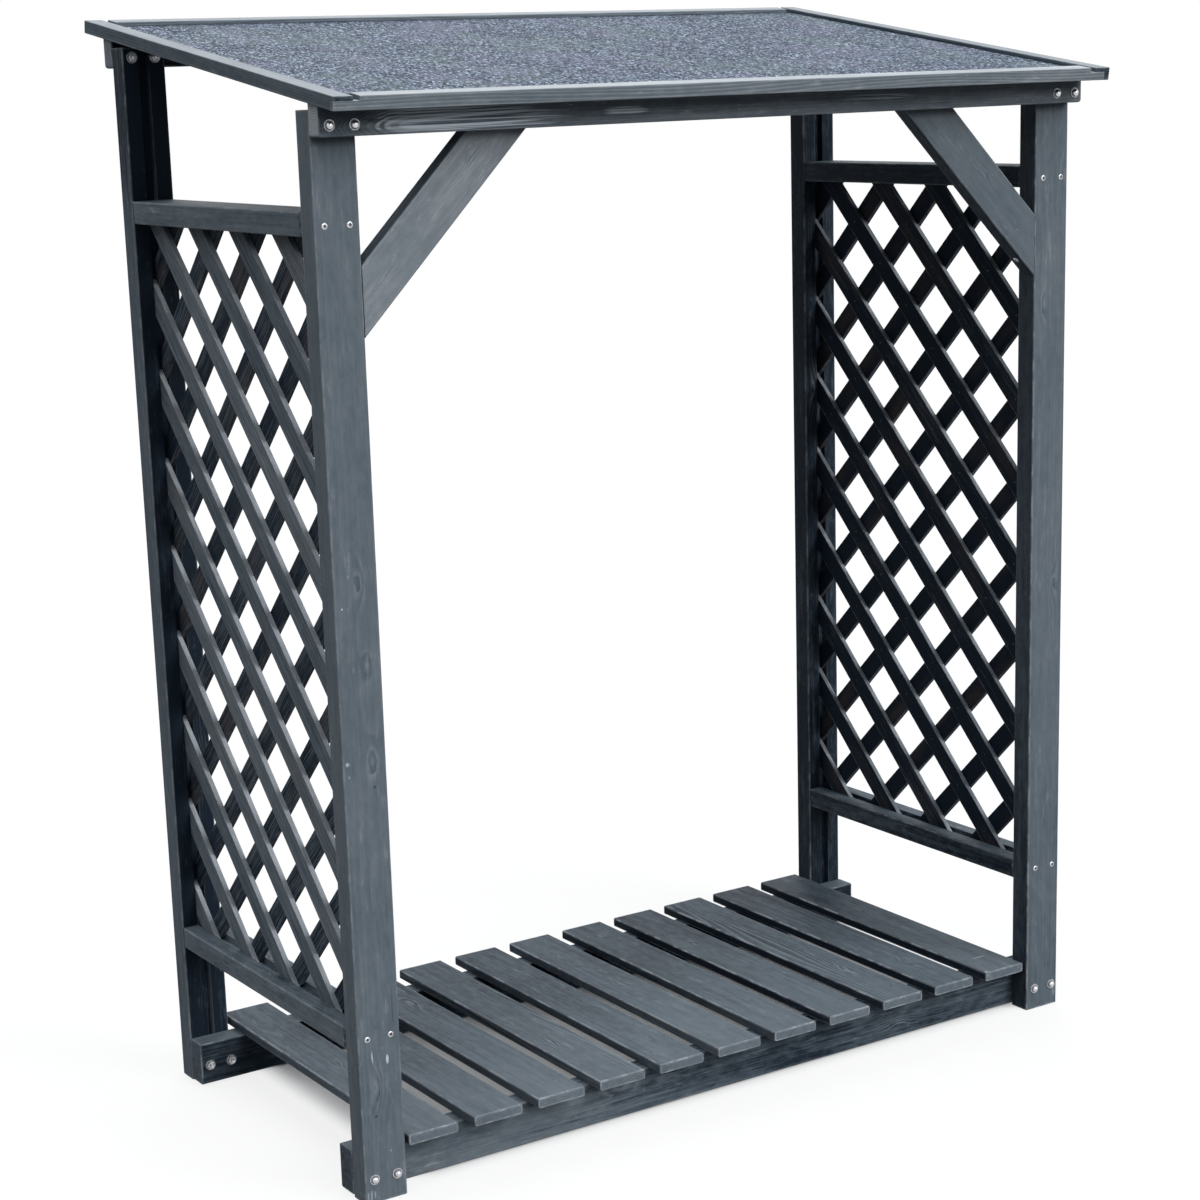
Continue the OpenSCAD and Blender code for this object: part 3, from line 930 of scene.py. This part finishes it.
def spun(places, profile, steps=32, star=None):
    """A drawing of the same turned shape at several places, each with its own direction."""
    def draw(mesh):
        for place, facing in places:
            spin(mesh, place, facing, profile, steps, star)
    return draw


# %% Make a piece of a drawing
def fixing(name, draw, material):
    """Turns a drawn mesh into one piece of the object."""
    mesh = bmesh.new()
    draw(mesh)
    data = bpy.data.meshes.new(name)
    mesh.to_mesh(data)
    mesh.free()
    data.shade_smooth()
    data.set_sharp_from_angle(angle=math.radians(38))
    data.materials.append(material)
    piece = bpy.data.objects.new(name, data)
    bpy.context.scene.collection.objects.link(piece)
    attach(piece, "root")
    return piece


# %% Profiles in millimetres, rim first
def millimetres(*pairs):
    """Pairs of radius and height, brought to metres."""
    return [(radius / 1000, height / 1000) for radius, height in pairs]


PLATE = millimetres((8.3, -0.4), (8.3, 0.9), (8.0, 1.3), (6.0, 1.3), (0, 1.3))
# A dark ring between each dome and its plate: painted contact shade.
CONTACT_SHADE = millimetres((6.3, 1.2), (6.3, 1.45), (0, 1.45))
DOME = millimetres((5.5, 1.3), (5.6, 2.6), (5.3, 4.0), (4.5, 5.3), (3.3, 6.2), (1.8, 6.8), (0, 7.0))
WASHER = millimetres((8.8, -0.4), (8.8, 1.1), (8.5, 1.4), (3.2, 1.4), (0, 1.4))
NUT = millimetres((5.6, 1.2), (6.2, 1.6), (6.2, 5.4), (5.6, 5.9), (3.4, 5.9), (3.1, 5.5), (0, 5.5))
TAIL = millimetres((2.9, 5.0), (2.9, 10.4), (2.4, 11.0), (0, 11.0))
SCREW = millimetres((4.7, -0.3), (4.7, 0.3), (4.3, 0.85), (3.4, 1.15), (2.9, 1.15), (2.7, 0.3),
                    (0, 0.2))
# A dark disc in each screw's recess: painted shade.
RECESS_SHADE = millimetres((2.75, 0.25), (2.75, 0.62), (0, 0.5))
NAIL = millimetres((1.7, -0.2), (1.7, 0.12), (1.45, 0.25), (0.8, 0.2), (0, 0.16))
PIN = millimetres((1.0, -0.2), (1.0, 0.08), (0.7, 0.16), (0, 0.16))
NUT_BORE, RECESS_WIDE = 0.005, 0.0030
print("a bolt head is", PLATE[0][0] * 2000, "mm wide and", DOME[-1][1] * 1000, "mm high")


# %% Corners for nuts, arms for recesses
def six_sided(angle, radius):
    """Draws a circle out to a hexagon, for everything but a nut's bore."""
    if radius < NUT_BORE:
        return 1.0
    from_flat = (angle + math.pi / 6) % (math.pi / 3) - math.pi / 6
    return 0.93 / math.cos(from_flat)


def cross_shaped(angle, radius):
    """Draws the walls of a screw's recess into a cross."""
    if radius > RECESS_WIDE:
        return 1.0
    return 0.62 + 0.38 * abs(math.cos(2 * angle)) ** 0.7


# %% [markdown]
# Two bolts hold each joint. At the feet they go through the post into the bearer behind it, and
# at the top through the beam into the post. So the heads always lie outside and the nuts inside,
# and the faces they lie on can be read off the construction.

# %% Bolts, heads outside and nuts inside
LEFT_BOLTS, RIGHT_BOLTS = (0.016, 0.054), (-0.0525, -0.0145)
BOLT_HEIGHTS = {  # metres above the ground
    ("front", "foot"): 0.037,
    ("back", "foot"): 0.035,
    ("front", "beam"): 1.5495,
    ("back", "beam"): 1.650,
}


def across_post(side, left, right):
    """Places across a post, in metres from its outer edge."""
    low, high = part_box(f"front_{side}_post")
    return [low.x + step for step in left] if side == "left" else [high.x + step for step in right]


def outer_face(node, where):
    """Where the face of a piece lies that looks to the front, or to the back."""
    low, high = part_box(node)
    return low.y if where == "front" else high.y


def bolt_row(name, heads, nuts, plate_steel):
    """Two bolts through a joint, as six kinds of part."""
    fixing(f"{name}_bolts", spun(heads, DOME), zinc)
    fixing(f"{name}_plates", spun(heads, PLATE), plate_steel)
    # Painted shade where each dome meets its plate.
    fixing(f"{name}_contact_shade", spun(heads, CONTACT_SHADE), dark_steel_and_shade)
    fixing(f"{name}_washers", spun(nuts, WASHER), shaded_zinc)
    fixing(f"{name}_nuts", spun(nuts, NUT, 48, six_sided), dull_and_shaded_zinc)
    fixing(f"{name}_tails", spun(nuts, TAIL), zinc)


for side in ("left", "right"):
    xs = across_post(side, LEFT_BOLTS, RIGHT_BOLTS)
    for (where, joint), z in BOLT_HEIGHTS.items():
        post, bar = f"{where}_{side}_post", f"{where}_{'bearer' if joint == 'foot' else 'beam'}"
        out, inward = (FRONT, BACK) if where == "front" else (BACK, FRONT)
        other = "back" if where == "front" else "front"
        outside, inside = (post, bar) if joint == "foot" else (bar, post)
        heads = [((x, outer_face(outside, where), z), out) for x in xs]
        nuts = [((x, outer_face(inside, other), z), inward) for x in xs]
        # The beams' plates lie under the roof's edge, so they take the darkest zinc as painted
        # shade.
        plate_steel = shaded_zinc if joint == "beam" else dull_and_shaded_zinc
        bolt_row(f"{where}_{side}_{joint}", heads, nuts, plate_steel)
print("bolts:", 2 * 2 * len(BOLT_HEIGHTS))

# %% [markdown]
# Screws hold the rails and the braces. Those of the rails are seen on the posts' faces, two to a
# rail. Each brace has one from below, driven square to its slope, and one from behind.

# %% Screws
# Places across a post, heights of the rails' screws, and how far the braces' ones are from the
# ends of their brace.
LEFT_SCREWS, RIGHT_SCREWS = (0.016, 0.0545), (-0.053, -0.015)
SCREW_HEIGHTS = 1.417, 0.255
UP_THE_BRACE = 0.027
BRACE_HEAD_IN, BRACE_HEAD_DOWN = 0.0675, 0.018


def add_screws(name, places, steel):
    """Heads, and painted shade in their recesses."""
    fixing(name, spun(places, SCREW, 40, cross_shaped), steel)
    fixing(f"{name}_recess_shades", spun(places, RECESS_SHADE, 40, cross_shaped), dark_steel_and_shade)


def brace_screws(side):
    """One under the brace's foot and one behind its head."""
    low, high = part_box(f"{side}_brace")
    foot_x, head_x, inward = (low.x, high.x, 1) if side == "left" else (high.x, low.x, -1)
    foot = (foot_x + inward * UP_THE_BRACE, (low.y + high.y) / 2, low.z + UP_THE_BRACE)
    head = (head_x - inward * BRACE_HEAD_IN, high.y, high.z - BRACE_HEAD_DOWN)
    return [(foot, (inward * DIAGONAL, 0, -DIAGONAL)), (head, BACK)]


for side in ("left", "right"):
    xs = across_post(side, LEFT_SCREWS, RIGHT_SCREWS)
    for where, facing in (("front", FRONT), ("back", BACK)):
        y = outer_face(f"{where}_{side}_post", where)
        heads = [((x, y, z), facing) for x in xs for z in SCREW_HEIGHTS]
        add_screws(f"{where}_{side}_rail_screws", heads, zinc)
    add_screws(f"{side}_brace_screws", brace_screws(side), dull_and_shaded_zinc)
print("screws:", 2 * (2 * 2 * len(SCREW_HEIGHTS) + 2))

# %% [markdown]
# Small nails hold each slat to the two bearers, a little out of line as hand-driven ones are. A
# pin sits in every crossing of the laths, and since the laths' spacing is known, the crossings
# are worked out: each is where a rising and a falling lath meet.

# %% Nails in the floor
NAILS_APART, NAIL_DRIFT = 0.021, 0.003


def floor_nails(mesh):
    for number in SLATS:
        low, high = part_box(f"floor_slat_{number}")
        middle = (low.x + high.x) / 2
        for bearer in ("front_bearer", "back_bearer"):
            y = sum(corner.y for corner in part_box(bearer)) / 2
            for aside in (-NAILS_APART, NAILS_APART):
                drift = NAIL_DRIFT * math.sin(number * 5.1 + aside * 900 + y * 40)
                place = (middle + aside + drift, y + drift * 0.8, high.z)
                spin(mesh, place, Z, NAIL, 12, None)


# %% Pins in the trellis
FROM_FRAME = 0.022  # a crossing nearer than this to a post or rail has no pin


def trellis_pins(node):
    """A pin on both sides of every crossing that is clear of the posts and rails."""
    rising, falling = PANELS[node][0]
    low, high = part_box(node)
    step = LATH_STEP / DIAGONAL

    def draw(mesh):
        for i in range(-10, 11):
            for j in range(-10, 11):
                up, down = (i + rising) * step, (j + falling) * step
                y, z = (down - up) / 2, PANEL_MIDDLE + (up + down) / 2
                level_with = low.z + FROM_FRAME < z < high.z - FROM_FRAME
                if abs(y) < high.y - FROM_FRAME and level_with:
                    spin(mesh, (low.x, y, z), (-1, 0, 0), PIN, 8, None)
                    spin(mesh, (high.x, y, z), (1, 0, 0), PIN, 8, None)
    return draw


fixing("floor_nails", floor_nails, dark_steel_and_shade)
for node in PANELS:
    pins = fixing(f"{node}_pins", trellis_pins(node), dark_steel_and_shade)
    print(pins.name, "has", len(pins.data.polygons), "faces")

# %% [markdown]
# ## Close
# The last line brings the view layer up to date with everything that was added.

# %% Bring the view layer up to date
bpy.context.view_layer.update()
